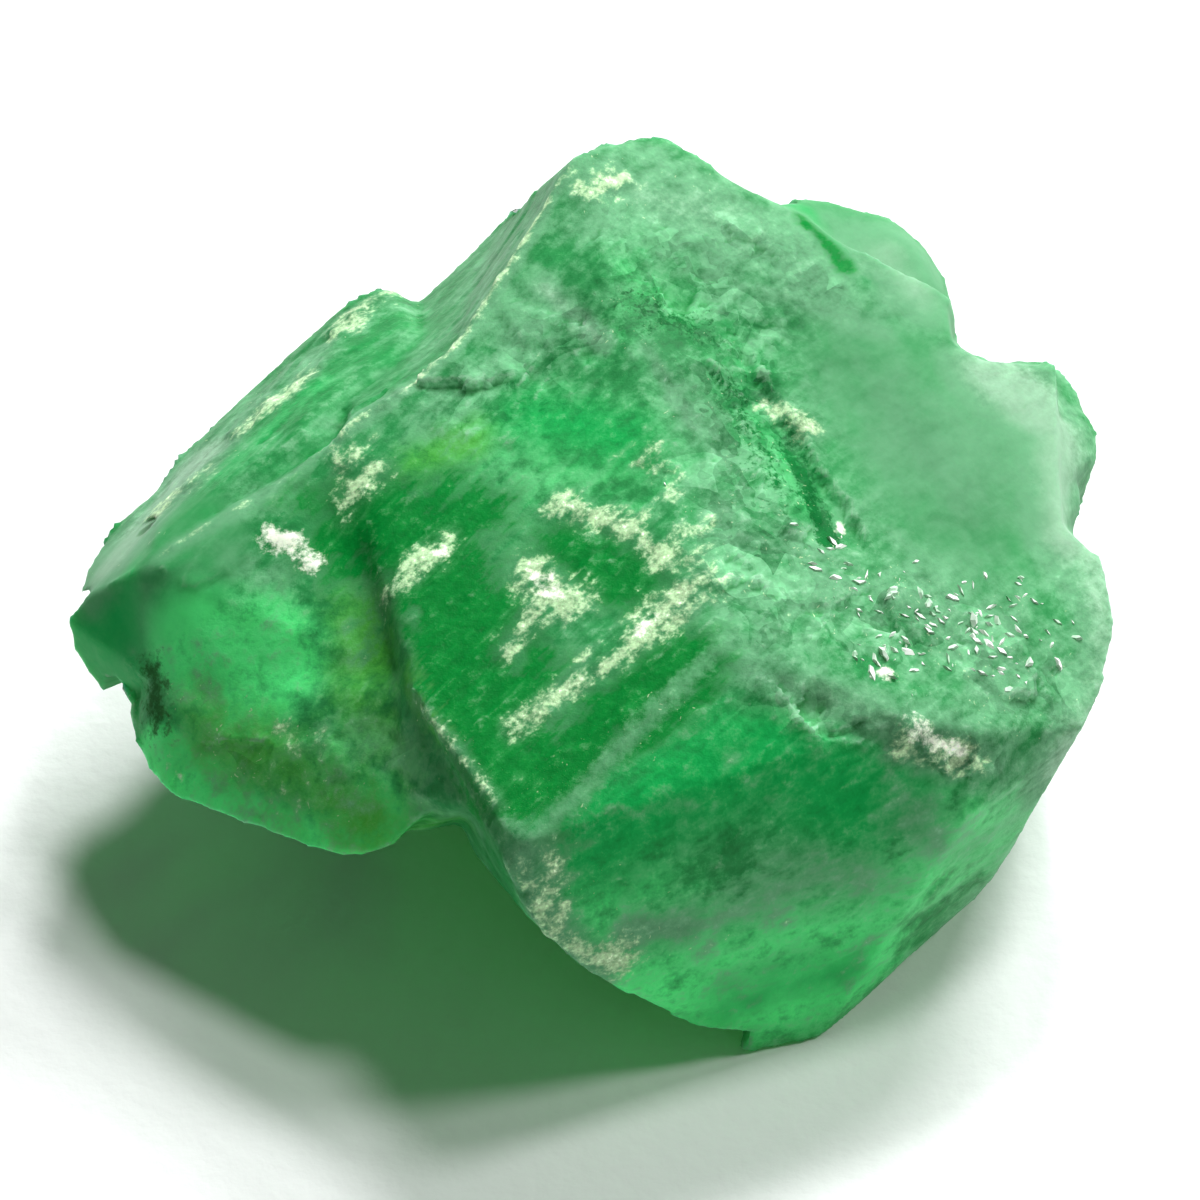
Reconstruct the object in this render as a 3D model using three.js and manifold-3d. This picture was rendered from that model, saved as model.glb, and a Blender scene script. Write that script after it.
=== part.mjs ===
// A raw emerald crystal, 18 mm long, in one piece.
//
// It is the broken end of a six-sided beryl prism. Two natural prism faces are left on it,
// the flat one on top at the left and the steep one at the front. The right side is a wide
// rough break, the left end steps down to a lower lobe with a hollow under it, and the back
// has two notches. Thin slabs and lumps of the same crystal have grown against the sides.
//
// Millimetres, +Z up. The origin is the centre of the bottom of the stone's box, and the
// stone rests on its one flat foot at Z = 0.

import * as THREE from 'three';
import { ConvexGeometry } from 'three/addons/geometries/ConvexGeometry.js';
import { mergeVertices } from 'three/addons/utils/BufferGeometryUtils.js';
import Module from 'manifold-3d';

const LENGTH = 18.0; // left tip to right corner
const WIDTH = 15.6; // front left edge to back edge
const HEIGHT = 8.0; // foot to the back corner

const LEFT_END = -LENGTH / 2;
const RIGHT_END = LENGTH / 2;
const FRONT_END = -WIDTH / 2;
const BACK_END = WIDTH / 2;
const WELD = 1e-4; // corners closer than this are one corner

// Corners that several faces share.
const FRONT_CORNER = [2.1, -3.6, 7.2]; // the top face, the front face and the break meet here
const FRONT_LEFT_CORNER = [-1.1, -7.2, 6.4];
const BACK_CORNER = [-0.2, 6.8, HEIGHT];
const LEFT_CORNER = [-7.6, -0.9, 6.2];
const RIDGE_BEND = [-4.4, 1.2, 7.0]; // the long ridge from the left corner turns here
const STEP_TOP = [-3.1, -3.9, 6.6]; // the prism steps down to the left lobe here
const FRONT_RIGHT_CORNER = [6.4, -5.0, 4.3];
const BREAK_EDGE = [
  // front edge of the break, from the front corner to the right
  [3.5, -3.8, 6.9],
  [5.4, -4.3, 6.1],
  [6.6, -4.1, 5.5],
];
const FOOT_BACK = [5.2, 4.9, 0];
const FOOT_LEFT = [-0.8, 3.9, 0];
const FOOT_RIGHT = [7.2, -1.1, 0];

// The main prism: its top face, its steep front face and its foot.
const PRISM = [
  FRONT_CORNER,
  FRONT_LEFT_CORNER,
  BACK_CORNER,
  RIDGE_BEND,
  STEP_TOP,
  [-1.5, -6.8, 6.4],
  // left rim of the front face, curving down to the foot
  [-1.4, -7.5, 5.9],
  [-0.9, FRONT_END, 4.8],
  [0, -7.7, 3.4],
  [1.3, -7.2, 1.8],
  // foot of the front face
  [2.7, -6.7, 0],
  [3.9, -6.4, 0],
  // right rim of the front face
  [6.3, -4.0, 0.5],
  [6.8, -4.0, 1.2],
  FRONT_RIGHT_CORNER,
  // the worn band between the front face and the break
  [5.2, -4.8, 5.5],
  [2.9, -4.8, 6.6],
  ...BREAK_EDGE,
  // back and underside
  [-3.1, 5.9, 5.2],
  [-1.6, 7.4, 5.6],
  [0.7, 6.5, 3.0],
  [-2.0, -4.3, 2.4],
  [-2.8, -0.6, 0.6],
  [-1.8, 4.4, 0.5],
  [0.7, -4.1, 0],
  [-2.3, 0.4, 0],
  FOOT_LEFT,
  FOOT_BACK,
  FOOT_RIGHT,
];

// The shoulder under the broken right face.
const RIGHT_SHOULDER = [
  FRONT_CORNER,
  BACK_CORNER,
  FRONT_RIGHT_CORNER,
  ...BREAK_EDGE,
  [7.8, -3.4, 4.9],
  // right end
  [8.4, -3.2, 4.6],
  [8.7, -2.4, 4.6],
  [8.9, -1.5, 4.6],
  [RIGHT_END, -0.9, 4.6],
  [8.8, -0.2, 4.8],
  [8.1, 4.4, 5.2],
  [7.8, 4.5, 5.2],
  // back edge, rising to the back corner
  [3.4, 6.8, 6.7],
  [2.5, 7.1, 7.0],
  [1.7, 7.6, 7.2],
  [1.3, BACK_END, 7.3],
  [0.9, 7.7, 7.4],
  [0.2, 7.3, 7.6],
  // right side down to the foot
  [7.7, -3.4, 3.2],
  [7.5, -3.8, 2.8],
  [7.1, -4.0, 2.0],
  [6.8, -4.1, 1.3],
  [7.7, -0.1, 0.3],
  [7.8, 2.9, 1.5],
  [4.2, 6.9, 2.5],
  [1.2, 7.5, 3.5],
  [2.2, -1.1, 0],
  FOOT_LEFT,
  FOOT_BACK,
  FOOT_RIGHT,
];

// The lower lobe at the left end, beside the step.
const LEFT_LOBE = [
  LEFT_CORNER,
  RIDGE_BEND,
  [-3.5, -1.9, 6.3],
  [-3.1, -3.2, 5.8],
  [-5.6, -3.1, 5.0],
  [-7.4, -2.4, 4.6],
  [-5.8, -1.6, 6.0],
  [-4.3, 1.4, 1.6],
  [-5.3, -1.1, 2.2],
  [-2.8, -3.1, 3.0],
  [-5.8, 1.9, 3.0],
];

// The smooth pointed tip beyond the left corner.
const LEFT_TIP = [
  LEFT_CORNER,
  [LEFT_END, -0.8, 4.5],
  [-8.7, -0.7, 5.0],
  [-8.9, -0.9, 3.8],
  [-8.6, -1.1, 3.3],
  [-8.2, -1.4, 2.9],
  [-7.9, -1.6, 2.9],
  [-7.3, -2.3, 4.5],
  [-7.3, -2.1, 3.9],
  [-6.8, 0.4, 2.6],
  [-6.3, 1.4, 3.5],
];

// The ledge under the lobe. It hangs over the floor.
const LEFT_LEDGE = [
  [-7.4, -2.4, 4.6],
  [-3.2, -3.4, 6.1],
  [-5.1, -2.9, 5.3],
  // front rim, left to right
  [-7.9, -1.9, 3.6],
  [-7.8, -2.5, 3.6],
  [-7.6, -3.1, 3.3],
  [-7.2, -3.7, 3.3],
  [-6.4, -4.1, 3.4],
  [-5.0, -5.1, 3.7],
  [-4.2, -5.5, 3.8],
  [-3.5, -5.8, 4.3],
  [-2.6, -5.5, 5.2],
  // underside
  [-4.3, -0.1, 1.3],
  [-2.3, -2.1, 1.6],
];

// The set-back wall that joins the ledge to the prism.
const STEP_WALL = [
  [-3.1, -3.8, 6.4],
  [-3.2, -3.4, 6.1],
  [-2.0, -6.1, 5.9],
  [-2.6, -5.5, 5.2],
  [-3.4, -5.0, 5.0],
  [-3.0, -4.7, 3.5],
  [-1.5, -3.6, 2.6],
  [-1.2, -4.5, 5.8],
  [-3.4, -2.0, 5.4],
  [-2.3, -2.1, 1.2],
];

// A thin slab grown against the back left side.
const OUTER_SLAB = [
  [-3.7, 6.1, 5.3],
  [-3.3, 6.1, 5.2],
  [-3.1, 5.8, 5.3],
  // outer rim, back to front
  [-4.2, 5.8, 5.3],
  [-5.0, 5.1, 4.9],
  [-5.9, 4.2, 4.7],
  [-6.9, 3.2, 4.5],
  [-7.5, 2.2, 4.5],
  // where it meets the ridge
  [-7.4, -0.7, 6.1],
  [-7.5, -0.3, 6.0],
  [-5.0, 1.7, 6.7],
  [-3.0, 4.3, 6.2],
  // underside
  [-5.8, 2.4, 2.8],
  [-2.8, 4.9, 2.4],
  [-5.0, 1.2, 2.0],
  // inside the prism and the lobe
  [-3.2, 0.6, 1.2],
  [-3.4, 0.6, 6.0],
];

// A small wedge between the outer slab and the left tip.
const CORNER_WEDGE = [
  [-7.5, -0.8, 6.1],
  [-8.5, -0.6, 5.1],
  [-7.5, 2.2, 4.5],
  [-8.0, 1.8, 4.3],
  [-8.4, 1.1, 4.3],
  [-8.7, 0.4, 4.3],
  [-8.8, -0.2, 4.4],
  [-7.6, -0.6, 6.0],
  [-7.3, 0.5, 5.6],
  [-6.8, 1.9, 3.0],
];

// A rounded lump on the back edge.
const BACK_LUMP = [
  [3.2, 7.4, 6.2],
  [4.1, 7.7, 5.8],
  [4.7, 7.7, 5.5],
  [5.3, BACK_END, 5.1],
  [5.8, 7.5, 4.7],
  [6.2, 7.1, 4.4],
  [6.3, 6.5, 4.2],
  [6.4, 5.6, 4.3],
  [4.8, 5.2, 5.9],
  [3.3, 6.4, 6.7],
  [5.6, 5.6, 2.4],
  [3.2, 7.0, 3.0],
  [4.8, 5.0, 1.6],
];

// Three small knobs down the right side, behind the right end.
const BACK_KNOB = [
  [7.1, 4.6, 5.1],
  [7.9, 5.0, 4.7],
  [8.1, 5.0, 4.5],
  [8.5, 4.6, 4.2],
  [8.6, 4.0, 4.1],
  [8.1, 2.8, 5.0],
  [7.4, 3.5, 5.3],
  [7.3, 4.0, 2.4],
  [7.8, 3.0, 1.8],
];
const MIDDLE_KNOB = [
  [8.6, 4.1, 4.3],
  [8.8, 3.7, 4.1],
  [8.8, 3.3, 4.0],
  [8.7, 3.1, 4.0],
  [8.2, 2.1, 4.8],
  [8.0, 2.9, 5.2],
  [7.8, 3.4, 2.0],
  [7.8, 1.8, 1.6],
];
const FRONT_KNOB = [
  [8.4, 2.7, 4.2],
  [8.5, 2.3, 4.1],
  [8.4, 1.9, 4.2],
  [8.1, 1.1, 4.8],
  [8.0, 2.1, 5.1],
  [7.8, 2.4, 1.8],
  [7.8, 0.8, 1.6],
];

// What broke off the back left side: it leaves the steep, scalloped back edge of the ridge.
const RIDGE_BREAK = [
  // scalloped edge, from the left to the back corner
  [-4.6, 1.2, 7.1],
  [-3.3, 2.0, 7.2],
  [-2.5, 2.7, 7.3],
  [-1.8, 3.8, 7.6],
  [-0.8, 5.6, 7.9],
  [-0.3, 6.6, 8.2],
  // foot of the break
  [-3.1, 6.0, 5.0],
  [-1.6, 7.5, 5.4],
  [-5.8, 4.9, 4.0],
  // out in the air
  [-7.8, 4.9, 9.0],
  [-1.8, 8.9, 9.0],
  [-2.0, 5.9, 10.5],
  [-5.8, 1.9, 9.5],
];

// The two notches in the back are cleavage cuts that slope down towards the back.
const NOTCH_SLOPE = [0.4, 11.7, -13.6];
const BACK_NOTCH_MOUTH = [
  [6.0, 0.2, 11.7],
  [6.1, -0.3, 11.2],
  [6.6, -0.5, 11.0],
  [7.6, -0.6, 11.0],
  [7.9, -0.2, 11.3],
  [6.2, 0.6, 12.0],
];
const RIGHT_NOTCH_MOUTH = [
  [7.9, -0.6, 10.9],
  [8.0, -2.7, 9.2],
  [8.5, -3.1, 8.9],
  [9.5, -2.6, 9.3],
  [9.5, -0.6, 10.9],
];

const wasm = await Module();
wasm.setup();

// A closed solid with flat faces round a set of corners.
function block(corners) {
  const points = corners.map(([x, y, z]) => new THREE.Vector3(x, y, z));
  const hull = new ConvexGeometry(points);
  hull.deleteAttribute('normal');
  const welded = mergeVertices(hull, WELD);
  const mesh = new wasm.Mesh({
    numProp: 3,
    vertProperties: new Float32Array(welded.attributes.position.array),
    triVerts: new Uint32Array(welded.index.array),
  });
  return new wasm.Manifold(mesh);
}

// A cut that runs straight along a slope from its mouth.
function slopingCut(mouth, slope) {
  const end = mouth.map(([x, y, z]) => [x + slope[0], y + slope[1], z + slope[2]]);
  return block([...mouth, ...end]);
}

function toGeometry(solid) {
  const mesh = solid.getMesh();
  const geometry = new THREE.BufferGeometry();
  geometry.setAttribute('position', new THREE.BufferAttribute(mesh.vertProperties, 3));
  geometry.setIndex(new THREE.BufferAttribute(mesh.triVerts, 1));
  geometry.computeVertexNormals();
  return geometry;
}

let stone = block(PRISM).subtract(block(RIDGE_BREAK));
stone = stone.add(block(RIGHT_SHOULDER));
stone = stone.subtract(slopingCut(BACK_NOTCH_MOUTH, NOTCH_SLOPE));
stone = stone.subtract(slopingCut(RIGHT_NOTCH_MOUTH, NOTCH_SLOPE));
for (const corners of [LEFT_LOBE, LEFT_TIP, LEFT_LEDGE, STEP_WALL, OUTER_SLAB, CORNER_WEDGE]) {
  stone = stone.add(block(corners));
}
for (const corners of [BACK_LUMP, BACK_KNOB, MIDDLE_KNOB, FRONT_KNOB]) {
  stone = stone.add(block(corners));
}

const emerald = new THREE.MeshStandardMaterial({ color: 0x46a86a, roughness: 0.35, metalness: 0 });
const crystal = new THREE.Mesh(toGeometry(stone), emerald);
crystal.name = 'emerald_crystal';

const emeraldCrystal = new THREE.Group();
emeraldCrystal.add(crystal);

export default emeraldCrystal;
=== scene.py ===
import math

import bmesh
import bpy
import numpy as np
from mathutils import Matrix, Quaternion, Vector, kdtree, noise


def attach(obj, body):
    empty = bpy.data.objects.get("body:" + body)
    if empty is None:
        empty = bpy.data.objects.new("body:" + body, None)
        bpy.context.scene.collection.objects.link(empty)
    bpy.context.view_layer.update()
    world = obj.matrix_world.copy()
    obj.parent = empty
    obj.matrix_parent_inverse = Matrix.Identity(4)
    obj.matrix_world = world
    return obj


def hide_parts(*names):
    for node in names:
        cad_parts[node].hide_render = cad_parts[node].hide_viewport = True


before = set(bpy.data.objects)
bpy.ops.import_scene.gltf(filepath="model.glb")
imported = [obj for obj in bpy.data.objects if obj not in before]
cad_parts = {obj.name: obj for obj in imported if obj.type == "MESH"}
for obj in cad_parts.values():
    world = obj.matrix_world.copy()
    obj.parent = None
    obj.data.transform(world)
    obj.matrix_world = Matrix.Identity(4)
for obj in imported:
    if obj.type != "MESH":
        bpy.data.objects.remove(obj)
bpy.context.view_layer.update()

MM = 0.001

# The camera stands well back and looks down at the stone from the front, as a close-up
# lens on a copy stand does. The field is a little wider than the stone.
LOOK_AT = Vector((0.16, -1.07, 5.36)) * MM
CAMERA_ELEVATION = math.radians(50)
CAMERA_DISTANCE = 260 * MM
FIELD_WIDTH = 20.4 * MM
SENSOR_WIDTH = 36

camera_data = bpy.data.cameras.new("copy_stand_camera")
camera_data.sensor_width = SENSOR_WIDTH
camera_data.lens = SENSOR_WIDTH * CAMERA_DISTANCE / FIELD_WIDTH
camera_data.clip_start = 10 * MM
camera_data.clip_end = 4000 * MM
camera = bpy.data.objects.new("copy_stand_camera", camera_data)
bpy.context.collection.objects.link(camera)
to_camera = Vector((0, -math.cos(CAMERA_ELEVATION), math.sin(CAMERA_ELEVATION)))
camera.location = LOOK_AT + to_camera * CAMERA_DISTANCE
camera.rotation_euler = (-to_camera).to_track_quat("-Z", "Y").to_euler()
bpy.context.scene.camera = camera
bpy.context.scene.view_settings.view_transform = "Standard"

# Four round softboxes light the stone: one nearly overhead, a weak one to the right and two
# behind it. Together they overexpose the paper, and where the stone hides one or more of them
# the paper falls to grey, then to dark green. Each has a direction, a diameter and a power.
SOFTBOXES = {
    "overhead": ((0.28, 0.24, 1.0), 75 * MM, 0.52),
    "right": ((0.85, 0.05, 1.0), 80 * MM, 0.42),
    "behind": ((0.14, 0.80, 1.0), 70 * MM, 0.98),
    "back_right": ((0.58, 1.02, 1.0), 110 * MM, 1.24),
}
LIGHT_DISTANCE = 400 * MM
SURROUND = 0.08


def soft_light(name, direction, diameter, power):
    """A round diffused light that faces the stone."""
    direction = Vector(direction).normalized()
    data = bpy.data.lights.new(name, "AREA")
    data.shape = "DISK"
    data.size = diameter
    data.energy = power
    light = bpy.data.objects.new(name, data)
    bpy.context.collection.objects.link(light)
    light.location = direction * LIGHT_DISTANCE
    light.rotation_euler = (-direction).to_track_quat("-Z", "Y").to_euler()


for name, (direction, diameter, power) in SOFTBOXES.items():
    soft_light(name, direction, diameter, power)

surround = bpy.data.worlds.new("surround")
surround.use_nodes = True
surround.node_tree.nodes["Background"].inputs["Color"].default_value = (1, 1, 1, 1)
surround.node_tree.nodes["Background"].inputs["Strength"].default_value = SURROUND
bpy.context.scene.world = surround

# The stone lies on a large sheet of matt white drawing paper, with a felted face of short
# fibres. Nothing holds it down.
PAPER_SIZE = 1.2
PAPER_WHITE = (0.86, 0.88, 0.87, 1)
FIBRES_PER_METRE = 2500
FELT_DEPTH = 0.1 * MM


def new_material(name):
    """A node material, its node tree and its Principled shader."""
    material = bpy.data.materials.new(name)
    material.use_nodes = True
    tree = material.node_tree
    return material, tree, tree.nodes["Principled BSDF"]


def put(tree, kind, inputs=None, **settings):
    """Adds a node, sets it up, and wires or fills its inputs."""
    made = tree.nodes.new(kind)
    for key, value in settings.items():
        setattr(made, key, value)
    for key, value in (inputs or {}).items():
        if isinstance(value, bpy.types.NodeSocket):
            tree.links.new(value, made.inputs[key])
        else:
            made.inputs[key].default_value = value
    return made


def new_piece(name, bm):
    """Turns a bmesh into an object with its place in its mesh."""
    mesh = bpy.data.meshes.new(name)
    bm.to_mesh(mesh)
    bm.free()
    piece = bpy.data.objects.new(name, mesh)
    bpy.context.collection.objects.link(piece)
    return piece


bm = bmesh.new()
bmesh.ops.create_grid(bm, x_segments=1, y_segments=1, size=PAPER_SIZE / 2)
paper = new_piece("paper", bm)
paper_white, tree, shader = new_material("matt_white_paper")
shader.inputs["Base Color"].default_value = PAPER_WHITE
shader.inputs["Roughness"].default_value = 0.9
place = put(tree, "ShaderNodeTexCoord").outputs["Object"]
fibres = put(tree, "ShaderNodeTexNoise", {"Vector": place, "Scale": FIBRES_PER_METRE, "Detail": 4})
felt_inputs = {"Height": fibres.outputs["Fac"], "Strength": 0.25, "Distance": FELT_DEPTH}
felt = put(tree, "ShaderNodeBump", felt_inputs)
tree.links.new(felt.outputs["Normal"], shader.inputs["Normal"])
paper.data.materials.append(paper_white)

# The stone is one raw emerald crystal, broken out of its rock. Its large faces are those of
# the solid model. The finer shape is made here as nature makes it: growth steps on the natural
# faces, hackly flats and shell-shaped scoops on the breaks, a crack, worn edges and a thin crust.
GROWN_ALONG = (0.68, 0.72, 0.14)
CRYSTAL_AXIS = np.array(GROWN_ALONG) / np.linalg.norm(GROWN_ALONG)
VIEW_SIDE = np.array([0.0, -0.64, 0.77])
MERGE_DISTANCE = 1e-6

# Lengths on the stone are in mm from here on.
QUAD_SIZE = 0.098
EVEN_ROUNDS = 2
WORN_ROUNDS = 40
LARGE_FLATS = {"count": 600, "tilt": 0.08, "step": 0.035}
SMALL_FLATS = {"count": 5000, "tilt": 0.10, "step": 0.012}
GROWTH_STEPS = {"count": 900, "tilt": 0.012, "step": 0.008, "stretch": 6}
HIGHEST_FLAT = 0.2
GRIT_HEIGHT = 0.012
WAVE_HEIGHT = 0.02
WINDOW_DEPTH = 0.02
CRUST_HEIGHT = 0.03
CRACK_DEPTH = 0.16
CRACK_WIDTH = 0.10
SWELLING = 0.35
INSET = 0.04
SCOOP_COUNT = 500
SCOOP_RADIUS = (0.3, 1.0)
SCOOP_DEPTH = (0.03, 0.09)
SHARP_HEIGHT = 0.04
CALMING = 0.75
RANDOM = np.random.default_rng(7)


def fine_mesh(node):
    """An even quad mesh over a merged copy of a solid model's node, made at the scale of mm."""
    draft = bpy.data.objects.new("draft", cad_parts[node].data.copy())
    bpy.context.collection.objects.link(draft)
    bm = bmesh.new()
    bm.from_mesh(draft.data)
    bmesh.ops.remove_doubles(bm, verts=bm.verts, dist=MERGE_DISTANCE)
    bmesh.ops.scale(bm, vec=Vector((1, 1, 1)) / MM, verts=bm.verts)
    bm.to_mesh(draft.data)
    bm.free()
    grid = draft.modifiers.new("even_quads", "REMESH")
    grid.mode = "VOXEL"
    grid.voxel_size = QUAD_SIZE
    graph = bpy.context.evaluated_depsgraph_get()
    mesh = bpy.data.meshes.new_from_object(draft.evaluated_get(graph))
    mesh.transform(Matrix.Scale(MM, 4))
    bpy.data.objects.remove(draft)
    mesh.materials.clear()
    return mesh


def read(mesh, what):
    """Vertex coordinates or normals as an array."""
    values = np.empty(len(mesh.vertices) * 3, dtype=np.float32)
    mesh.vertices.foreach_get(what, values)
    return values.reshape(-1, 3).astype(float)


def write(mesh, points):
    """Moves the vertices to the given places in mm."""
    mesh.vertices.foreach_set("co", (points * MM).astype(np.float32).ravel())
    mesh.update()


def keep(mesh, name, values):
    """Stores one value for each vertex, for the material to read."""
    layer = mesh.attributes.new(name, "FLOAT", "POINT")
    layer.data.foreach_set("value", values.astype(np.float32))


def unit(vector):
    return vector / np.linalg.norm(vector, axis=-1, keepdims=True)


def ramp(values, low, high):
    """0 below low, 1 above high, smooth between."""
    t = np.clip((values - low) / (high - low), 0, 1)
    return t * t * (3 - 2 * t)


def wander(points, size, seed=0.0, octaves=1):
    """Noise of about -1 to 1 whose largest lumps are size mm across."""
    falloff = 0.6
    finer = 2.0
    scaled = points / size + seed
    if octaves == 1:
        return np.array([noise.noise(p) for p in scaled])
    return np.array([noise.fractal(p, falloff, finer, octaves) for p in scaled])


def near(points, path, radius):
    """1 on a line through the given places, 0 at radius and down to -1 beyond it."""
    path = [np.array(spot, dtype=float) for spot in path]
    closest = np.full(len(points), np.inf)
    for start, end in zip(path, path[1:]):
        run = end - start
        along = (points - start) @ run / (run @ run)
        foot = start + np.outer(np.clip(along, 0, 1), run)
        closest = np.minimum(closest, np.linalg.norm(points - foot, axis=1))
    return np.maximum(1 - closest / radius, -1)


def paint(points, marks):
    """The strongest of several marks, each a path, a radius and a strength."""
    cover = np.full(len(points), -1.0)
    for path, radius, strength in marks:
        cover = np.maximum(cover, strength * near(points, path, radius))
    return cover


def scoop(points, at, facing, radius, depth):
    """Presses a shallow shell-shaped hollow of that rim radius into the surface."""
    ball = (radius * radius + depth * depth) / (2 * depth)
    offset = points - (at + facing * (ball - depth))
    height = offset @ facing
    across = offset - np.outer(height, facing)
    flat = (across * across).sum(1)
    floor = -np.sqrt(np.maximum(ball * ball - flat, 0))
    inside_rim = flat < radius * radius * 1.1
    this_side = ((points - at) ** 2).sum(1) < radius * radius * 1.3
    hit = inside_rim & this_side & (height > floor)
    points[hit] += np.outer(floor[hit] - height[hit], facing)


def flats(points, count, tilt, step, stretch=1):
    """Small tilted flats, each reaching to halfway to the next, and a tone for each of them."""
    along = points @ CRYSTAL_AXIS
    space = points - np.outer(along * (1 - 1 / stretch), CRYSTAL_AXIS)
    seats = RANDOM.choice(len(points), count, replace=False)
    tree = kdtree.KDTree(count)
    for i, seat in enumerate(seats):
        tree.insert(space[seat], i)
    tree.balance()
    nearest = np.array([tree.find(p)[1] for p in space])
    lean = RANDOM.normal(0, tilt, (count, 3))
    sink = RANDOM.uniform(-step, step, count)
    rise = ((points - points[seats][nearest]) * lean[nearest]).sum(1) + sink[nearest]
    return np.clip(rise, -HIGHEST_FLAT, HIGHEST_FLAT), RANDOM.uniform(-1, 1, count)[nearest]


def relax(mesh, rounds, chosen=None):
    """Evens out the mesh, or only its chosen vertices, as handling wears an edge down."""
    all_ways = {"use_axis_x": True, "use_axis_y": True, "use_axis_z": True}
    bm = bmesh.new()
    bm.from_mesh(mesh)
    soft = [v for v in bm.verts if chosen is None or chosen[v.index]]
    for _ in range(rounds):
        bmesh.ops.smooth_vert(bm, verts=soft, factor=0.5, **all_ways)
    bm.to_mesh(mesh)
    bm.free()


def sharpness(mesh, points, normals, rounds):
    """How far each vertex stands above its neighbours, in mm: positive on edges, negative in creases."""
    ends = np.empty(len(mesh.edges) * 2, dtype=np.int32)
    mesh.edges.foreach_get("vertices", ends)
    a, b = ends.reshape(-1, 2).T
    share = np.bincount(ends, minlength=len(points))[:, None]
    even = points
    for _ in range(rounds):
        total = np.zeros_like(points)
        np.add.at(total, a, even[b])
        np.add.at(total, b, even[a])
        even = total / share
    return ((points - even) * normals).sum(1)


# Where the surface is what. Each mark is a path in mm over the stone, a radius and a strength.
# The long break and smaller ones are hackly.
HACKLY = [
    ([(1.4, 4.4, 7.5), (2.6, 3.4, 7.1), (2.6, 0.6, 7.1), (3.0, -2.4, 7.0)], 1.9, 1.3),
    ([(4.2, -2.4, 6.6), (7.2, -2.6, 5.2)], 1.7, 1.1),
    ([(2.8, -4.4, 6.8), (6.8, -4.2, 4.8)], 0.7, 1.3),
    ([(2.4, 5.6, 7.1), (5.2, 4.6, 6.2)], 0.8, 0.9),
    ([(-8.0, 0.0, 5.4), (-5.6, 3.0, 5.8), (-3.6, 5.6, 5.4)], 0.9, 0.5),
    ([(-6.0, -3.2, 4.6), (-3.4, -4.0, 4.8)], 1.3, 0.8),
    ([(-1.8, 1.8, 7.3), (0.4, 3.2, 7.6), (1.0, 5.0, 7.7)], 1.6, 0.8),
]
# The right face, the left tip and the back lump are worn smooth.
SMOOTH = [
    ([(5.2, 3.0, 6.2), (6.4, 0.8, 5.8), (7.2, 1.8, 5.5)], 2.3, 2),
    ([(-8.8, -1.0, 3.4), (-8.9, -0.5, 4.7), (-8.0, -0.6, 5.6), (-7.2, -0.6, 6.1)], 1.6, 5),
    ([(4.2, 7.2, 5.9), (5.6, 6.6, 5.3), (6.0, 5.4, 5.8)], 1.5, 2),
]
# The foot of the back lump bulges.
SWOLLEN = [([(5.4, 6.8, 5.2), (6.0, 6.1, 5.2)], 1.2, 1)]
# Through clean natural faces one looks down into deep green.
WINDOWS = [
    (
        [(-3.9, -0.4, 6.9), (-2.9, -1.0, 6.9), (-2.3, -2.6, 6.8), (-1.8, -4.2, 6.7), (-1.3, -5.9, 6.6)],
        1.75,
        1.2,
    ),
    ([(-0.3, -1.5, 7.2), (0.8, -2.1, 7.2)], 1.25, 1.2),
    ([(-1.6, -2.4, 6.9), (-0.9, -3.6, 6.9), (-1.2, -4.4, 6.8)], 1.0, 0.9),
    ([(-1.0, -6.2, 6.6), (0.1, -5.2, 6.8), (1.5, -3.9, 7.1)], 1.3, 1.2),
    ([(-3.4, -0.2, 6.9), (-2.0, -0.6, 7.0)], 1.3, 1.0),
    # The last window darkens the crease of the back lump: painted shade.
    ([(3.7, 6.7, 6.6), (4.0, 6.2, 6.5), (4.4, 5.6, 6.4)], 0.3, 0.9),
]
# Thin or freshly broken places are clear and bright. The first two marks, on the front face, are also
# painted bright for light that comes through the stone: painted glow.
CLEAR_AND_GLOW = [
    ([(0.0, -6.8, 6.0), (1.4, -5.8, 6.2), (2.9, -5.2, 6.2), (4.6, -5.3, 5.2)], 1.8, 1.2),
    ([(1.9, -6.9, 1.4), (3.2, -6.5, 1.6), (4.6, -6.0, 1.5)], 1.0, 0.6),
    ([(-8.5, -0.8, 5.2), (-8.4, -1.2, 4.5), (-8.0, -1.6, 3.6)], 1.2, 2),
    ([(2.2, 2.6, 7.2), (3.3, 0.9, 6.8), (3.7, -0.1, 6.7)], 0.9, 0.5),
    ([(-0.9, 1.4, 7.3), (0.6, 0.8, 7.4)], 1.2, 0.9),
    ([(3.6, 6.9, 6.3), (4.5, 5.8, 6.4), (5.0, 5.4, 6.2)], 0.55, 1.2),
    ([(-6.3, 1.4, 6.1), (-4.8, 3.0, 6.2)], 0.9, 0.8),
]
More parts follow.
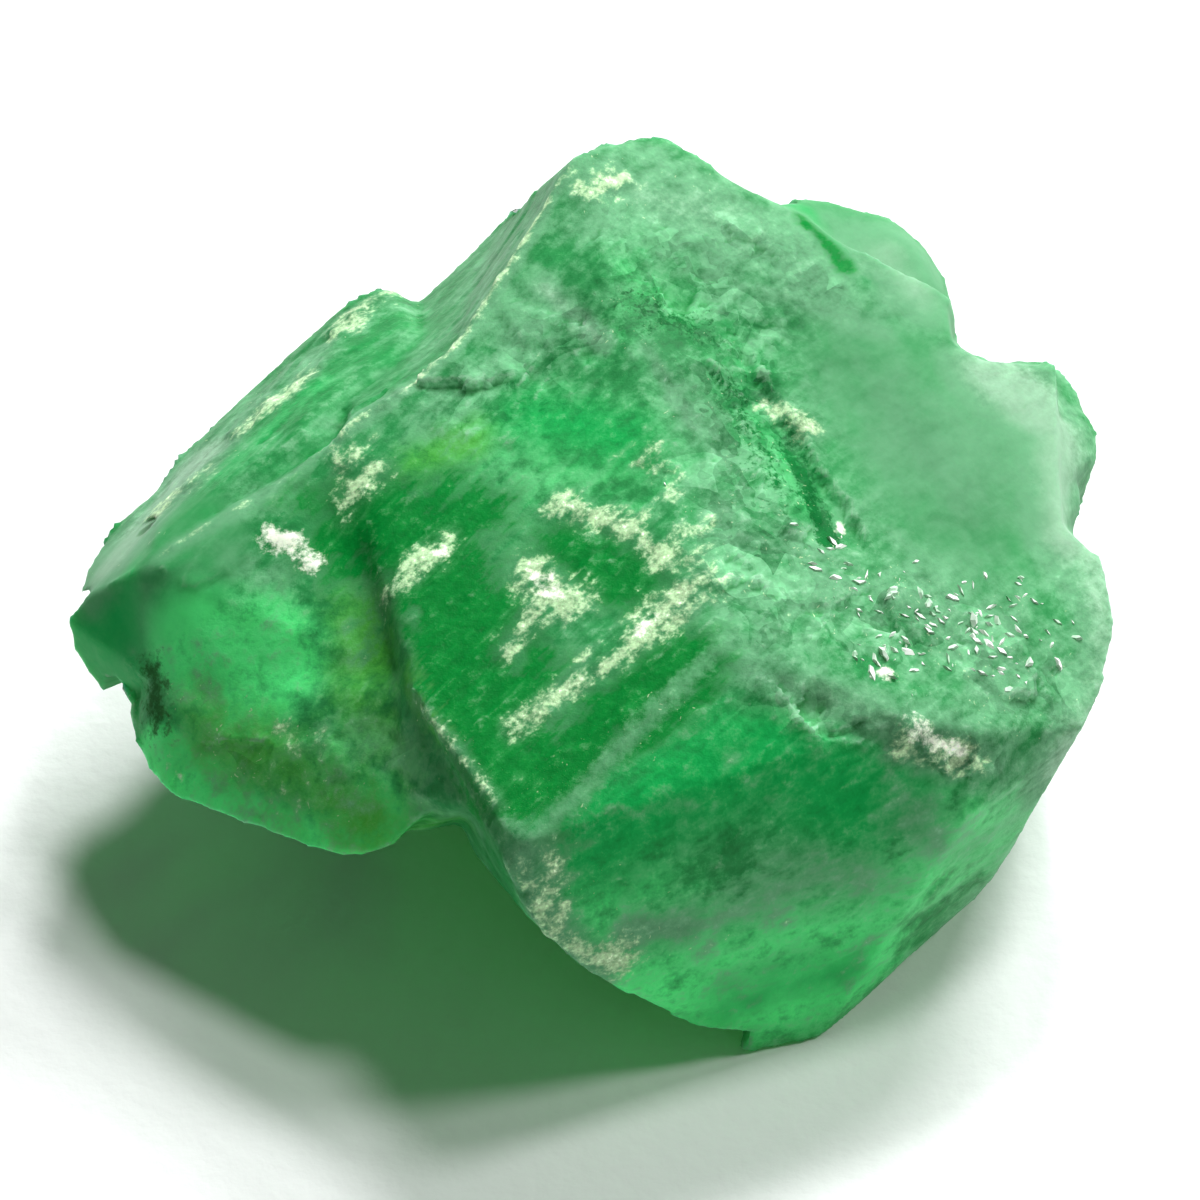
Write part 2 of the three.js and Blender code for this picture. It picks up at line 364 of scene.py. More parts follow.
# Cream feldspar fills veins and lies in patches on the faces.
VEINS = [
    ([(-0.9, -1.9, 7.1), (-0.6, -2.3, 7.0), (-0.4, -2.6, 7.0)], 0.6, 1.35),
    ([(-0.8, -2.5, 7.0), (-1.4, -3.4, 6.8)], 0.38, 1.25),
    ([(1.8, -2.3, 7.3), (1.2, -2.8, 7.2)], 0.62, 1.15),
    ([(1.3, -2.9, 7.2), (0.2, -3.8, 6.9)], 0.5, 1.15),
    ([(0.2, -3.8, 6.9), (-0.6, -4.4, 6.7), (-1.2, -4.9, 6.6)], 0.33, 1.3),
    ([(-0.6, -0.5, 7.2), (0.2, -0.8, 7.3), (0.8, -1.2, 7.3), (1.3, -1.9, 7.3)], 0.42, 1.1),
    ([(1.0, 0.4, 7.4), (1.6, -1.0, 7.3), (1.5, -2.0, 7.3)], 0.5, 0.6),
    ([(-4.3, 0.8, 7.0), (-3.7, 0.5, 7.0), (-4.1, 0.0, 6.9)], 0.55, 0.95),
    ([(-3.5, -2.0, 6.5), (-2.5, -1.2, 7.0)], 0.34, 0.7),
    ([(-7.4, 0.9, 5.3), (-6.6, 1.5, 5.6)], 0.45, 0.9),
    ([(-6.0, 2.5, 5.7), (-5.0, 3.4, 5.9)], 0.4, 0.8),
    ([(-4.3, 4.9, 5.6), (-3.4, 6.0, 5.3)], 0.5, 0.9),
    ([(-5.1, -3.5, 4.8), (-4.6, -3.8, 4.8)], 0.42, 1.3),
    ([(-5.2, -4.2, 4.2), (-4.4, -4.4, 4.2)], 0.4, 0.7),
    ([(-1.0, -7.3, 5.8), (-0.9, -7.6, 5.2), (-0.3, -7.7, 4.2), (0.6, -7.4, 3.4)], 0.55, 0.9),
    ([(3.0, 2.1, 7.0), (3.7, 1.7, 6.8)], 0.35, 1),
    ([(5.5, -4.6, 5.9), (6.0, -4.6, 5.6), (6.6, -4.5, 5.2)], 0.5, 1.2),
    ([(-0.1, 6.0, 7.9), (0.6, 6.4, 7.8)], 0.45, 0.8),
    ([(-3.1, -4.2, 6.4), (-2.4, -5.0, 6.5), (-1.6, -6.4, 6.5)], 0.2, 0.9),
    ([(-7.3, -0.7, 6.2), (-4.4, 1.2, 7.0), (-2.5, 2.7, 7.3), (-0.4, 6.5, 7.9)], 0.14, 0.8),
]
# Where the crust is thick it is white.
WHITES = [
    ([(-5.4, -0.6, 6.5), (-5.1, -0.7, 6.5)], 0.36, 1.1),
    ([(-4.9, -1.0, 6.4), (-4.7, -1.1, 6.4)], 0.3, 1),
    ([(-2.5, -1.3, 6.9), (-2.6, -1.3, 6.9)], 0.13, 0.9),
    ([(-0.9, -2.0, 7.0), (-0.6, -2.3, 7.0)], 0.28, 0.9),
    ([(1.1, -2.9, 7.1), (0.8, -3.2, 7.1)], 0.2, 0.7),
    ([(4.3, -0.3, 6.6), (4.3, -0.4, 6.6)], 0.14, 1),
    ([(5.0, -3.4, 6.3), (5.1, -3.5, 6.3)], 0.2, 1),
    ([(-7.1, -3.3, 3.6), (-6.9, -3.5, 3.5)], 0.25, 0.7),
    ([(5.3, -4.3, 6.0), (5.8, -4.5, 5.7), (6.3, -4.5, 5.4)], 0.3, 0.9),
    ([(-4.9, -3.6, 4.8), (-4.7, -3.8, 4.8)], 0.18, 0.8),
]
# A frosted skin makes these places pale. On the slab tip at the far left and in the strongest patches
# along the top, the pale also stands for painted highlight.
HAZE_AND_SHEEN = [
    ([(5.2, 3.0, 6.2), (6.4, 0.8, 5.8), (7.2, 1.8, 5.5)], 3.2, 0.55),
    ([(8.6, 0.4, 4.6), (8.8, -1.6, 4.2), (8.2, -3.4, 4.0)], 1.3, 2.2),
    ([(0.4, 6.2, 7.8), (2.2, 6.2, 7.3), (3.4, 5.4, 6.9)], 2.0, 1.2),
    ([(5.6, 5.4, 6.0), (5.2, 6.4, 5.8)], 1.7, 1.6),
    ([(6.9, 3.9, 5.6), (8.3, 3.0, 5.0), (8.2, 0.6, 5.0)], 1.4, 2.2),
    ([(4.0, -1.6, 6.6), (7.2, -1.8, 5.4)], 2.3, 0.9),
    ([(3.0, 4.6, 6.9), (5.0, 4.2, 6.2)], 0.7, 1),
    ([(-8.3, 0.0, 5.1), (-7.6, 1.0, 5.3), (-6.8, 2.2, 5.2)], 1.2, 2.2),
    ([(-7.0, 1.4, 5.6), (-5.4, 3.2, 5.7), (-3.6, 5.6, 5.4)], 0.9, 0.6),
    (
        [(-7.6, -0.9, 6.2), (-6.4, -0.2, 6.5), (-4.4, 1.2, 6.9), (-2.5, 2.7, 7.3), (-0.2, 6.8, 8.0)],
        0.35,
        1.3,
    ),
    ([(-2.6, 1.6, 7.2), (-1.5, 3.0, 7.5), (-0.4, 3.9, 7.7)], 1.2, 0.4),
    ([(-0.8, 4.0, 7.7), (0.2, 2.8, 7.6)], 0.35, 1.4),
    ([(1.0, 2.6, 7.6), (2.3, 0.2, 7.3)], 0.3, 0.9),
    ([(-1.2, -7.3, 6.3), (-1.0, -7.6, 5.2), (0.0, -7.7, 3.4)], 0.8, 1.1),
    ([(0.6, -7.2, 4.1), (1.6, -7.0, 3.8)], 0.7, 1),
    ([(5.5, -5.4, 4.4), (6.4, -4.8, 3.0)], 0.8, 0.5),
    ([(2.2, -6.8, 3.8), (3.6, -6.2, 4.0), (5.2, -5.6, 3.2)], 1.0, 0.45),
    ([(2.8, -4.0, 6.9), (5.4, -4.4, 6.0), (6.9, -4.2, 4.8)], 0.8, 1),
    ([(1.6, -3.0, 7.3), (2.4, 0.0, 7.3), (1.8, 2.0, 7.4)], 1.2, 0.6),
]
# The edges of the front face are painted pale: partly rubbed frost, partly painted highlight where they
# face up into the light.
LIPS = [
    ([(2.4, -3.4, 7.2), (1.2, -4.6, 6.9), (0.2, -5.8, 6.7), (-0.8, -7.0, 6.4)], 0.3, 1.0),
    ([(-3.2, -3.8, 6.4), (-2.4, -5.1, 6.5), (-1.5, -6.5, 6.5), (-1.0, -7.2, 6.3)], 0.2, 0.7),
]
# Iron stains these places olive, most of all the flanks of the lower left block.
OLIVE = [
    ([(-3.6, -2.3, 6.0), (-3.4, -3.0, 5.5), (-3.2, -3.6, 4.9), (-2.9, -4.4, 4.5)], 1.3, 0.75),
    ([(-3.1, -3.7, 6.6), (-2.5, -4.7, 6.5)], 0.6, 1),
    ([(-3.0, 0.5, 7.1), (-2.0, 1.0, 7.2)], 0.7, 0.7),
    ([(-6.4, -3.3, 4.4), (-5.2, -3.9, 4.5), (-4.2, -4.6, 4.3), (-3.7, -5.2, 4.5)], 1.2, 0.7),
]
# Painted glow: these places are painted bright, standing in for light that comes through the stone.
GLOW = [
    ([(-6.7, -2.1, 5.4), (-6.1, -2.4, 5.4), (-5.4, -2.6, 5.6), (-5.8, -3.0, 5.0)], 1.3, 1.6),
    ([(-7.3, -3.2, 3.7), (-6.8, -3.7, 3.7), (-6.3, -4.2, 3.5)], 0.8, 2.4),
    ([(-6.4, -4.2, 3.4), (-5.0, -5.1, 3.7), (-4.2, -5.4, 3.9), (-3.6, -5.2, 4.5)], 1.0, 1.5),
    ([(0.2, -7.6, 3.0), (1.9, -7.0, 1.2), (4.6, -6.2, 1.4)], 1.6, 1.2),
    ([(0.2, -7.4, 4.4), (2.2, -6.8, 2.8), (4.6, -5.8, 2.6), (6.0, -5.0, 3.4)], 2.0, 0.65),
    ([(-2.6, 0.1, 7.1), (-1.0, 0.4, 7.2), (0.4, 0.0, 7.4)], 1.6, 0.2),
    ([(1.0, 4.0, 7.6), (1.6, 2.6, 7.5)], 1.4, 0.15),
    ([(-8.6, -0.8, 4.6), (-8.2, -1.4, 3.2)], 1.6, 1.0),
    ([(-6.8, -3.2, 4.2), (-4.4, -4.2, 4.4)], 1.4, 0.55),
]
# Small flecks of feldspar are thickest here.
FLECKED = [
    ([(3.4, -1.4, 6.8), (5.2, -2.4, 6.2), (7.0, -2.6, 5.4)], 2.0, 1),
    ([(0.8, 3.4, 7.6), (2.6, 1.4, 7.2), (2.4, -1.4, 7.2)], 1.2, 0.7),
    ([(-6.6, -3.2, 4.4), (-4.2, -4.2, 4.4)], 1.2, 0.8),
    ([(-8.0, 0.2, 5.2), (-3.6, 5.6, 5.5)], 1.2, 0.7),
    ([(-2.9, -4.6, 6.4), (-1.4, -6.8, 6.4), (1.4, -4.6, 6.9)], 0.7, 0.7),
    ([(-0.8, -7.4, 5.2), (1.4, -7.0, 3.4)], 1.3, 0.7),
    ([(-0.4, 6.0, 7.9), (2.0, 6.6, 7.3)], 1.2, 0.6),
]
# Two spots of dark mineral.
STAINS = [
    ([(-7.5, -2.1, 4.6), (-7.4, -2.6, 4.2)], 0.55, 0.9),
    ([(0.8, -2.6, 7.2), (0.9, -2.6, 7.2)], 0.1, 0.9),
]
# A crack runs down the break, and its left side has sunk.
ON_CRACK = (4.0, 0.8, 6.7)
CRACK = [([(2.9, 2.4, 7.1), (3.6, 1.5, 6.8), ON_CRACK, (4.3, -0.2, 6.6)], 1.1, 1)]
ACROSS_CRACK = np.array([-0.88, -0.48, 0.0])
# Painted shade darkens the foot of the crack, where the wall of its sunken side is in shadow, and the
# hollows beside it.
SHADED = [
    ([(3.4, 1.4, 6.9), (3.6, 0.8, 6.8), (3.9, 0.0, 6.7), (4.1, -0.7, 6.6)], 0.34, 1.6),
    ([(0.9, 3.6, 7.6), (1.8, 3.4, 7.4)], 0.8, 0.5),
    ([(2.4, 2.2, 7.2), (3.0, 0.8, 7.0), (3.4, 0.0, 6.9)], 0.7, 0.45),
]
# The right face is painted a little darker than the rest: painted shade, to tone down the stronger light
# that falls on it.
RIGHT_FACE_SHADE = [([(1.2, 2.8, 7.6), (3.4, 4.0, 6.9), (5.0, 2.8, 6.3), (6.2, 0.8, 5.9)], 2.2, 1)]
# Creases and edges that are rounded by wear.
WORN = [
    ([(-3.9, 0.6, 6.8), (-3.6, -0.6, 6.6), (-3.3, -2.0, 6.3), (-3.0, -3.4, 6.2)], 0.7, 1),
    ([(2.6, 7.2, 6.9), (3.4, 6.7, 6.7), (4.2, 6.0, 6.5), (5.0, 5.2, 6.3)], 0.5, 1),
    ([(-7.2, -0.7, 6.1), (-4.4, 0.9, 6.8)], 0.3, 1),
    ([(-7.7, 0.5, 5.3), (-7.4, 1.1, 5.1)], 0.5, 1),
    ([(-7.6, -1.0, 6.0), (-7.5, -1.8, 5.3), (-7.4, -2.5, 4.4)], 0.35, 1),
    ([(-5.8, -3.0, 5.0), (-3.0, -3.3, 5.9)], 0.6, 1),
]

mesh = fine_mesh("emerald_crystal")
relax(mesh, EVEN_ROUNDS)
relax(mesh, WORN_ROUNDS, paint(read(mesh, "co") / MM, WORN) > 0)
points = read(mesh, "co") / MM
normals = read(mesh, "normal")
grit = wander(points, 0.3, 5.0)
mottle = wander(points, 0.9, 9.0, 4)
mist = wander(points, 2.4, 3.0, 4)

# Growth faces carry faint steps along the crystal. The break and the unseen sides are hackly.
calm = np.clip(paint(points, SMOOTH), 0, 1)
worn = np.clip(3 * paint(points, WORN) + 1, 0, 1)
unseen = 1 - ramp(normals @ VIEW_SIDE, -0.2, 0.15)
hackly = np.clip(paint(points, HACKLY) + 0.3 * mottle, 0, 1)
hackly = np.maximum(hackly, 0.5 * unseen) * (1 - calm) * (1 - worn)
large, large_tone = flats(points, **LARGE_FLATS)
small, small_tone = flats(points, **SMALL_FLATS)
long, long_tone = flats(points, **GROWTH_STEPS)
broken_rise = large + small + GRIT_HEIGHT * grit
grown_rise = long + WAVE_HEIGHT * wander(points, 2.2)
rise = hackly * broken_rise + (1 - hackly) * grown_rise
facet = hackly * (1.3 * large_tone + 0.9 * small_tone) + (1 - hackly) * (1 - calm) * 0.3 * long_tone
mottle *= 1 - CALMING * calm

# Windows and the left side of the crack are sunk. The feldspar crust stands proud, and the foot
# of the back lump is swollen. Scoops are pressed into the unseen breaks.
window = paint(points, WINDOWS)
cream = paint(points, VEINS)
white = paint(points, WHITES)
rise -= WINDOW_DEPTH * ramp(window + 0.3 * mottle + 0.15 * grit, 0.35, 0.6)
crusted = ramp(np.maximum(cream, white) + 0.5 * grit, 0.4, 0.9)
rise += CRUST_HEIGHT * crusted * (1 + 0.9 * grit)
left_of_crack = (points - np.array(ON_CRACK)) @ ACROSS_CRACK + 0.15 * mottle
rise -= CRACK_DEPTH * ramp(paint(points, CRACK), 0, 0.8) * ramp(left_of_crack, 0, CRACK_WIDTH)
rise += SWELLING * ramp(paint(points, SWOLLEN), 0, 1)
points += normals * (rise - INSET)[:, None]
write(mesh, points)
normals = read(mesh, "normal")
for seat in RANDOM.choice(len(points), SCOOP_COUNT, replace=False):
    radius = RANDOM.uniform(*SCOOP_RADIUS)
    facing = unit(normals[seat] + RANDOM.normal(0, 0.15, 3))
    if RANDOM.random() < hackly[seat] * unseen[seat]:
        scoop(points, points[seat].copy(), facing, radius, radius * RANDOM.uniform(*SCOOP_DEPTH))
write(mesh, points)

# The material reads all of this from the vertices. Only edges at the front are painted pale, partly as
# rubbed frost and partly as painted highlight.
PAINTED = {
    "clear": CLEAR_AND_GLOW,
    "olive": OLIVE,
    "glow": GLOW,
    "stain": STAINS,
    "shaded": SHADED,
    "lip": LIPS,
    "flecked": FLECKED,
}
for name, marks in PAINTED.items():
    keep(mesh, name, paint(points, marks))
keep(mesh, "window", window)
keep(mesh, "cream", cream)
keep(mesh, "white", white)
keep(mesh, "haze_and_sheen", np.maximum(paint(points, HAZE_AND_SHEEN), 0.35 * unseen))
keep(mesh, "right_face_shade", np.clip(paint(points, RIGHT_FACE_SHADE), 0, 1))
keep(mesh, "calm", calm)
keep(mesh, "hackly", hackly)
keep(mesh, "facet", facet)
keep(mesh, "mottle", mottle)
keep(mesh, "mist", mist)
front = ramp(normals @ VIEW_SIDE, 0.25, 0.6) * (1 - ramp(points[:, 1], 2.5, 4.5))
sharp = sharpness(mesh, points, read(mesh, "normal"), 3) / SHARP_HEIGHT
keep(mesh, "sharp", np.where(sharp > 0, sharp * front, sharp))
crystal = bpy.data.objects.new("emerald_stone", mesh)
bpy.context.collection.objects.link(crystal)

# Emerald: a clear green body under a cloudy skin. Haze is frosted and pale, in places painted highlight;
# windows are clean and deep, olive is iron stain, and cream and white are feldspar left from the matrix.
BODY = (0.030, 0.29, 0.080, 1)
DEEP = (0.002, 0.205, 0.029, 1)
CLEAN_AND_GLOW_GREEN = (0.010, 0.42, 0.090, 1)
PALE = (0.125, 0.35, 0.175, 1)
FROST_AND_SHEEN = (0.25, 0.45, 0.29, 1)
OLIVE_GREEN = (0.085, 0.46, 0.058, 1)
BRIGHT = (0.110, 0.98, 0.27, 1)
SHADOW_GREEN = (0.004, 0.13, 0.026, 1)
CREAM = (0.47, 0.66, 0.38, 1)
WHITE = (0.86, 0.94, 0.76, 1)
BROWN = (0.018, 0.085, 0.018, 1)
SEEN_THROUGH = (0.12, 0.85, 0.36, 1)
SHADOW_TINT = (0.042, 0.225, 0.08, 1)
TURN_TO_AXIS = math.radians(-46.6)
DRAWN_OUT = (0.25, 2.4, 2.4)
RELIEF_DEPTH = 0.1 * MM


def maths(tree, operation, a, b):
    return put(tree, "ShaderNodeMath", {0: a, 1: b}, operation=operation).outputs[0]


def step_up(tree, a, low, high):
    inputs = {"Value": a, "From Min": low, "From Max": high}
    return put(tree, "ShaderNodeMapRange", inputs, interpolation_type="SMOOTHSTEP").outputs["Result"]


def tinted(tree, factor, a, b):
    return put(tree, "ShaderNodeMix", {0: factor, 6: a, 7: b}, data_type="RGBA").outputs[2]


def between(tree, factor, a, b):
    return put(tree, "ShaderNodeMix", {0: factor, 2: a, 3: b}, data_type="FLOAT").outputs[0]


def weighted(tree, total, terms):
    """A value plus several others, each times its weight."""
    for value, weight in terms:
        total = maths(tree, "ADD", total, maths(tree, "MULTIPLY", value, weight))
    return total


def millimetres(tree):
    """Object coordinates in mm."""
    place = put(tree, "ShaderNodeTexCoord").outputs["Object"]
    return put(tree, "ShaderNodeMapping", {"Vector": place, "Scale": (1 / MM, 1 / MM, 1 / MM)}).outputs[0]


def stored(tree, name):
    return put(tree, "ShaderNodeAttribute", attribute_name=name).outputs["Fac"]


def clouds(tree, vector, scale, detail, roughness):
    """Noise of 0 to 1 with about that many lumps to the mm."""
    inputs = {"Vector": vector, "Scale": scale, "Detail": detail, "Roughness": roughness}
    return put(tree, "ShaderNodeTexNoise", inputs).outputs["Fac"]


def chips(tree, vector, sway, scale):
    """Angular cells of chipped crystal, bent a little by noise."""
    bend = put(tree, "ShaderNodeTexNoise", {"Vector": vector, "Scale": sway, "Detail": 0.0})
    bent = put(tree, "ShaderNodeVectorMath", {0: vector, 1: bend.outputs["Color"]}, operation="ADD")
    return put(tree, "ShaderNodeTexVoronoi", {"Vector": bent.outputs[0], "Scale": scale})


def broken(tree, cover, wobbles, low, high):
    """A stored mark whose soft edge is broken up by noise: none of it at low, all of it at high."""
    return step_up(tree, weighted(tree, stored(tree, cover), wobbles), low, high)


emerald, tree, shader = new_material("emerald")
in_mm = millimetres(tree)
turned = put(tree, "ShaderNodeMapping", {"Vector": in_mm, "Rotation": (0, 0, TURN_TO_AXIS)}).outputs[0]
drawn = put(tree, "ShaderNodeMapping", {"Vector": turned, "Scale": DRAWN_OUT}).outputs[0]
rough = maths(tree, "SUBTRACT", 1.0, maths(tree, "MULTIPLY", stored(tree, "calm"), CALMING))
grain = maths(tree, "MULTIPLY", maths(tree, "SUBTRACT", clouds(tree, in_mm, 4.0, 4, 0.72), 0.5), rough)
streak = maths(tree, "MULTIPLY", maths(tree, "SUBTRACT", clouds(tree, drawn, 1.5, 3, 0.65), 0.5), rough)
powdery = maths(tree, "SUBTRACT", clouds(tree, in_mm, 11.0, 2, 0.7), 0.5)
mottle = stored(tree, "mottle")
mist = stored(tree, "mist")

# Flecks are small cells picked at random, and more of them where the marks say.
flecks = 0.0
for scale, share in ((3.2, 0.45), (7.5, 0.35)):
    cells = chips(tree, in_mm, 2 * scale, scale)
    picked = put(tree, "ShaderNodeSeparateColor", {"Color": cells.outputs["Color"]}).outputs["Red"]
    picked = weighted(tree, picked, [(stored(tree, "flecked"), share)])
    centred = step_up(tree, cells.outputs["Distance"], 0.2, 0.08)
    fleck = maths(tree, "MULTIPLY", centred, step_up(tree, picked, 0.95, 1.05))
    flecks = maths(tree, "MAXIMUM", flecks, fleck)

# Each chip of the hackly break has its own tone.
chip_tone = 0.0
for scale, share in ((1.25, 1.0), (3.6, 0.7)):
    cells = chips(tree, in_mm, 0.7 * scale, scale)
    tone = put(tree, "ShaderNodeSeparateColor", {"Color": cells.outputs["Color"]}).outputs["Red"]
    tone = maths(tree, "MULTIPLY", maths(tree, "SUBTRACT", tone, 0.5), share)
    chip_tone = maths(tree, "ADD", chip_tone, tone)
chip_tone = maths(tree, "MULTIPLY", chip_tone, stored(tree, "hackly"))

# Each zone is a stored mark, the noises that break up its edge, and where it starts and is full.
fringe = broken(tree, "cream", [(mottle, 0.5), (streak, 2.4), (grain, 1.0)], -0.3, 1.0)
creamy = broken(tree, "cream", [(grain, 2.6), (powdery, 1.2), (mottle, 0.5), (streak, 2.4)], 0.3, 1.1)
chalky = broken(tree, "cream", [(grain, 3.4), (powdery, 2.0), (mottle, 0.6)], 1.2, 2.2)
whitish = broken(tree, "white", [(grain, 3.0)], 0.2, 1.0)
deep = broken(tree, "window", [(mottle, 0.35), (grain, 1.0), (streak, 1.6)], 0.05, 0.8)
rim = maths(tree, "MULTIPLY", deep, maths(tree, "SUBTRACT", 1.0, deep))
clean_and_glow = broken(tree, "clear", [(mist, 0.25), (mottle, 0.2), (grain, 0.6), (streak, 0.6)], 0.0, 0.9)
hazy_and_sheen = broken(tree, "haze_and_sheen", [(mist, 0.25), (mottle, 0.4), (grain, 1.4), (streak, 1.2)], -0.2, 0.9)
mossy = broken(tree, "olive", [(mottle, 0.25), (grain, 0.9)], -0.1, 0.8)
lit = broken(tree, "glow", [(mist, 0.2), (mottle, 0.3), (grain, 0.6)], -0.1, 0.9)
stained = broken(tree, "stain", [(grain, 2.6), (powdery, 1.0)], 0.1, 0.9)
shaded = broken(tree, "shaded", [(grain, 1.6), (powdery, 1.2)], 0.2, 0.65)
lip = broken(tree, "lip", [(grain, 2.0), (powdery, 0.8)], 0.0, 0.9)
# The strongest haze turns to frost: partly frosted skin, partly painted highlight.
frost_and_sheen = broken(tree, "haze_and_sheen", [(mist, 0.25), (grain, 1.4), (streak, 1.0)], 0.9, 1.9)
powder = broken(tree, "hackly", [(grain, 3.4), (mottle, 0.3)], 0.8, 1.9)
# Edges that stand out at the front are painted pale: partly rubbed frost, partly painted highlight.
worn = broken(tree, "sharp", [(grain, 3.0)], 0.15, 1.3)
# Creases, where the surface lies below its neighbours, are painted darker: painted shade.
sunken = maths(tree, "MULTIPLY", stored(tree, "sharp"), -1.0)
crease_shade = step_up(tree, sunken, 0.2, 1.2)
cloud_terms = [(streak, 3.5), (mist, 1.0), (stored(tree, "facet"), 1.0), (chip_tone, 2.4), (grain, 2.0)]
cloudy = step_up(tree, weighted(tree, mottle, cloud_terms), -0.9, 1.5)

# The colours lie over each other in this order, each with the most that it may cover.
LAYERS = [
    (cloudy, 0.85, PALE),
    (lit, 1.0, BRIGHT),
    (mossy, 1.0, OLIVE_GREEN),
    (clean_and_glow, 1.0, CLEAN_AND_GLOW_GREEN),
    (hazy_and_sheen, 1.0, PALE),
    (frost_and_sheen, 1.0, FROST_AND_SHEEN),
    (powder, 0.35, PALE),
    (deep, 1.0, DEEP),
    (rim, 0.8, PALE),
    (worn, 0.55, FROST_AND_SHEEN),
    (lip, 0.7, PALE),
    (crease_shade, 0.5, DEEP),
    (shaded, 1.0, SHADOW_GREEN),
    (flecks, 0.8, CREAM),
    (fringe, 0.5, PALE),
    (creamy, 0.78, CREAM),
    (chalky, 0.8, WHITE),
    (whitish, 1.0, WHITE),
    (stained, 0.9, BROWN),
]
colour = BODY
for zone, most, tone in LAYERS:
    colour = tinted(tree, maths(tree, "MULTIPLY", zone, most), colour, tone)

crumbly = maths(tree, "MULTIPLY", powdery, creamy)
depth_terms = [(grain, 1.1), (streak, 0.7), (mottle, 0.12), (chip_tone, 0.6), (crumbly, 1.6)]
# The right face is painted darker here: painted shade.
depth = weighted(tree, between(tree, stored(tree, "right_face_shade"), 1.0, 0.76), depth_terms)
colour = put(tree, "ShaderNodeHueSaturation", {"Color": colour, "Value": depth}).outputs["Color"]

crust = maths(tree, "MAXIMUM", creamy, maths(tree, "MAXIMUM", whitish, stained))
pass_light = between(tree, hazy_and_sheen, 0.13, 0.06)
pass_light = between(tree, maths(tree, "MAXIMUM", deep, clean_and_glow), pass_light, 0.18)
pass_light = between(tree, crust, pass_light, 0.02)
matt = between(tree, hazy_and_sheen, 0.38, 0.5)
matt = between(tree, crust, matt, 0.85)

tree.links.new(colour, shader.inputs["Base Color"])
tree.links.new(pass_light, shader.inputs["Transmission Weight"])
tree.links.new(matt, shader.inputs["Roughness"])
shader.inputs["IOR"].default_value = 1.58
shader.inputs["Specular IOR Level"].default_value = 0.04
shader.inputs["Specular Tint"].default_value = (0.15, 0.5, 0.25, 1)
shader.inputs["Subsurface Weight"].default_value = 0.3
shader.inputs["Subsurface Radius"].default_value = (0.35, 1.0, 0.55)
shader.inputs["Subsurface Scale"].default_value = 0.7 * MM
relief = weighted(tree, grain, [(streak, 0.7)])
bump = put(tree, "ShaderNodeBump", {"Height": relief, "Strength": 0.2, "Distance": RELIEF_DEPTH})
tree.links.new(bump.outputs["Normal"], shader.inputs["Normal"])
tint = put(tree, "ShaderNodeVolumeAbsorption", {"Color": SEEN_THROUGH, "Density": 320})
output = tree.nodes["Material Output"]
tree.links.new(tint.outputs["Volume"], output.inputs["Volume"])

# To the lamps the stone is a sheet of green glass, so that its shadow is green.
lamp_side = put(tree, "ShaderNodeLightPath").outputs["Is Shadow Ray"]
green_glass = put(tree, "ShaderNodeBsdfTransparent", {"Color": SHADOW_TINT}).outputs[0]
through = put(tree, "ShaderNodeMixShader", {0: lamp_side, 1: shader.outputs[0], 2: green_glass})
tree.links.new(through.outputs[0], output.inputs["Surface"])
mesh.materials.append(emerald)
mesh.polygons.foreach_set("use_smooth", np.ones(len(mesh.polygons), dtype=bool))
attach(crystal, "root")
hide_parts("emerald_crystal")

# Loose-looking flakes of white feldspar lie in the low part of the break. They are small
# broken plates and splinters, bedded in the surface, most of them along the same line.
FLAKE_BED = [
    ([(5.2, -2.2, 6.2), (7.1, -1.8, 5.5)], 1.4, 1),
    ([(3.9, -0.9, 6.7), (5.0, -3.2, 6.2)], 0.8, 0.6),
]
FLAKE_COUNT = 140
FLAKE_LENGTH = (0.07, 0.34)
FLAKE_SLIMNESS = (0.15, 0.55)
FLAKE_THICKNESS = 0.25
FLAKE_BASE = 0.55
FLAKE_TOP = (0.2, 0.45)
FLAKE_LIE = math.radians(80)
FLAKE_SWING = 0.6
FLAKE_LEAN = 0.25
GREENISH = (0.40, 0.64, 0.44, 1)
CHALK = (0.92, 0.97, 0.90, 1)
LARGE_FLAKES = [((5.05, -3.45, 6.25), 0.26), ((6.1, -2.3, 5.85), 0.22), ((1.3, -0.2, 7.3), 0.14)]

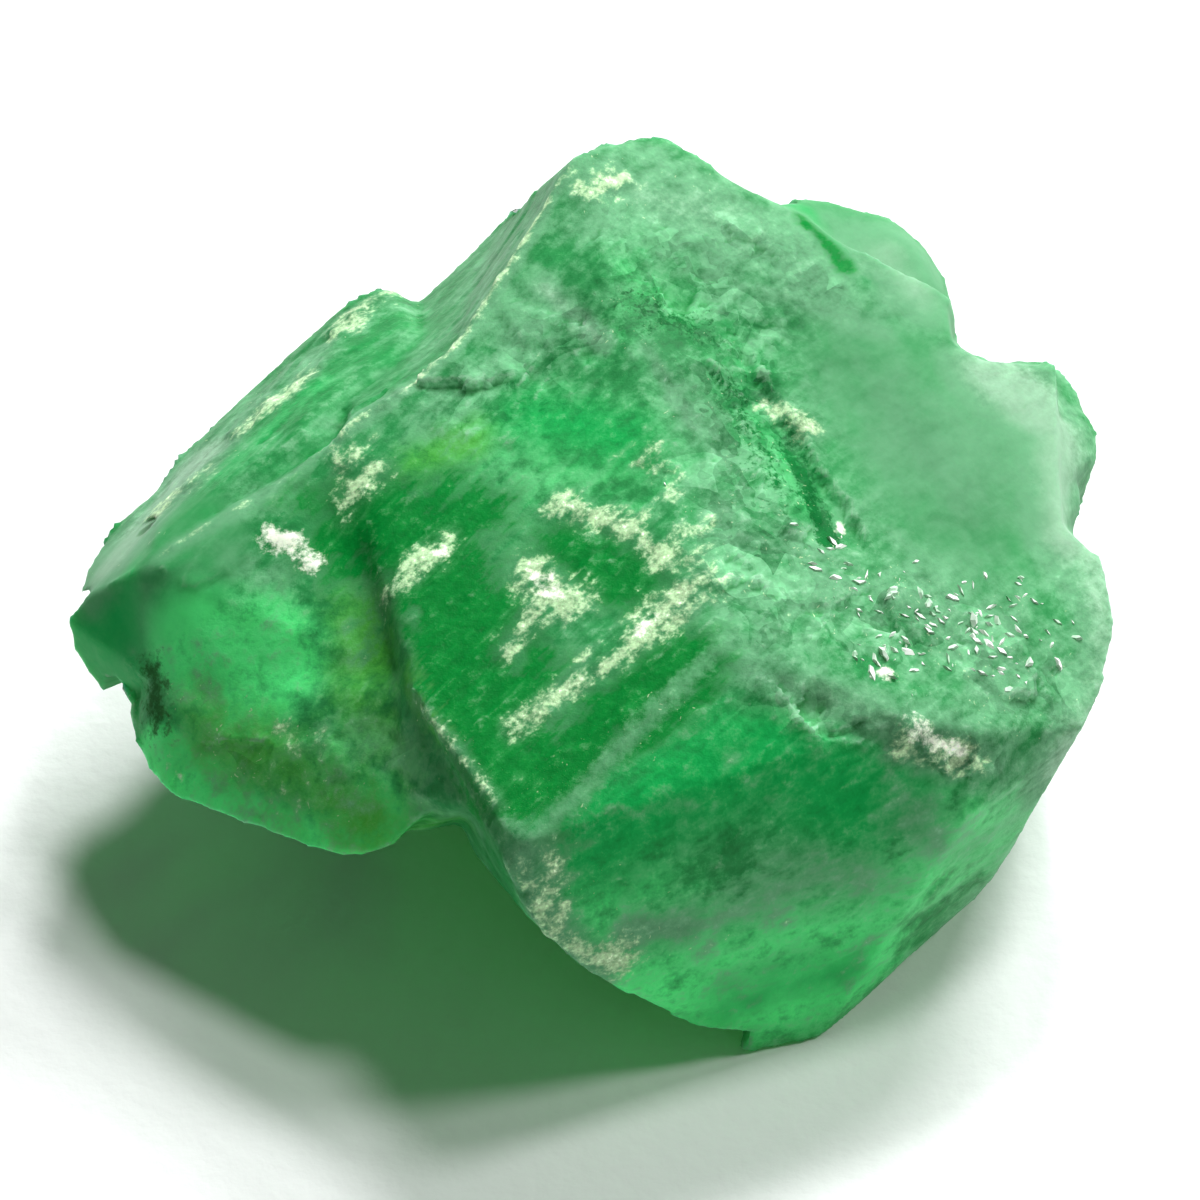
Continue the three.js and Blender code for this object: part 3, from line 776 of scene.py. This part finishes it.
bedding = np.clip(paint(points, FLAKE_BED), 0, 1) * (normals @ VIEW_SIDE > 0.5)
seats = RANDOM.choice(len(points), FLAKE_COUNT, replace=False, p=bedding / bedding.sum())
beds = [(seat, RANDOM.uniform(*FLAKE_LENGTH)) for seat in seats]
for spot, length in LARGE_FLAKES:
    beds.append((int(((points - np.array(spot)) ** 2).sum(1).argmin()), length))
bm = bmesh.new()
for seat, length in beds:
    upright = Vector(normals[seat]) + Vector(RANDOM.normal(0, FLAKE_LEAN, 3))
    turn = upright.to_track_quat("Z", "Y") @ Quaternion((0, 0, 1), RANDOM.normal(FLAKE_LIE, FLAKE_SWING))
    slimness = RANDOM.uniform(*FLAKE_SLIMNESS)
    size = Vector((length, length * slimness, length * FLAKE_THICKNESS)) * MM
    bed = Matrix.LocRotScale(Vector(points[seat]) * MM, turn, size)
    sides = int(RANDOM.integers(3, 6))
    shape = {"segments": sides, "radius1": FLAKE_BASE, "radius2": RANDOM.uniform(*FLAKE_TOP), "depth": 1}
    bmesh.ops.create_cone(bm, cap_ends=True, matrix=bed, **shape)
flakes = new_piece("feldspar_flakes", bm)
feldspar, tree, shader = new_material("white_feldspar")
patchy = step_up(tree, clouds(tree, millimetres(tree), 2.5, 2, 0.5), 0.35, 0.62)
tree.links.new(tinted(tree, patchy, GREENISH, CHALK), shader.inputs["Base Color"])
shader.inputs["Roughness"].default_value = 0.6
flakes.data.materials.append(feldspar)
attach(flakes, "root")

# Healed fractures run through the clear front of the crystal. Each is a thin wavy veil of tiny
# fluid pockets, sealed inside the stone and drawn out along it.
VEILS = [
    ((1.6, -5.0, 4.6), (1.9, 0.9), 0.5),
    ((3.6, -4.4, 3.2), (1.6, 0.8), 0.9),
    ((0.4, -3.6, 5.6), (1.5, 0.7), 0.1),
    ((-5.9, -1.6, 4.6), (0.8, 0.5), 0.3),
]
VEIL_WAVE = 0.12
VEIL_WAVES_PER_MM = 1.3
VEIL_MOST = 0.6

bm = bmesh.new()
for centre, (length, width), roll in VEILS:
    turn = Vector(CRYSTAL_AXIS).to_track_quat("X", "Z") @ Quaternion((1, 0, 0), roll)
    lie = Matrix.LocRotScale(Vector(centre) * MM, turn, Vector((length, width, 1)) * MM)
    sheet = bmesh.ops.create_grid(bm, x_segments=28, y_segments=14, size=1, matrix=lie)["verts"]
    upright = turn @ Vector((0, 0, 1))
    for vertex in sheet:
        vertex.co += upright * noise.noise(vertex.co / MM * VEIL_WAVES_PER_MM) * VEIL_WAVE * MM
veils = new_piece("healed_fractures", bm)
veil, tree, shader = new_material("fluid_veil")
pockets = step_up(tree, clouds(tree, millimetres(tree), 2.2, 6, 0.7), 0.45, 0.7)
shader.inputs["Base Color"].default_value = (0.55, 0.85, 0.62, 1)
shader.inputs["Roughness"].default_value = 0.5
tree.links.new(maths(tree, "MULTIPLY", pockets, VEIL_MOST), shader.inputs["Alpha"])
veils.data.materials.append(veil)
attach(veils, "root")
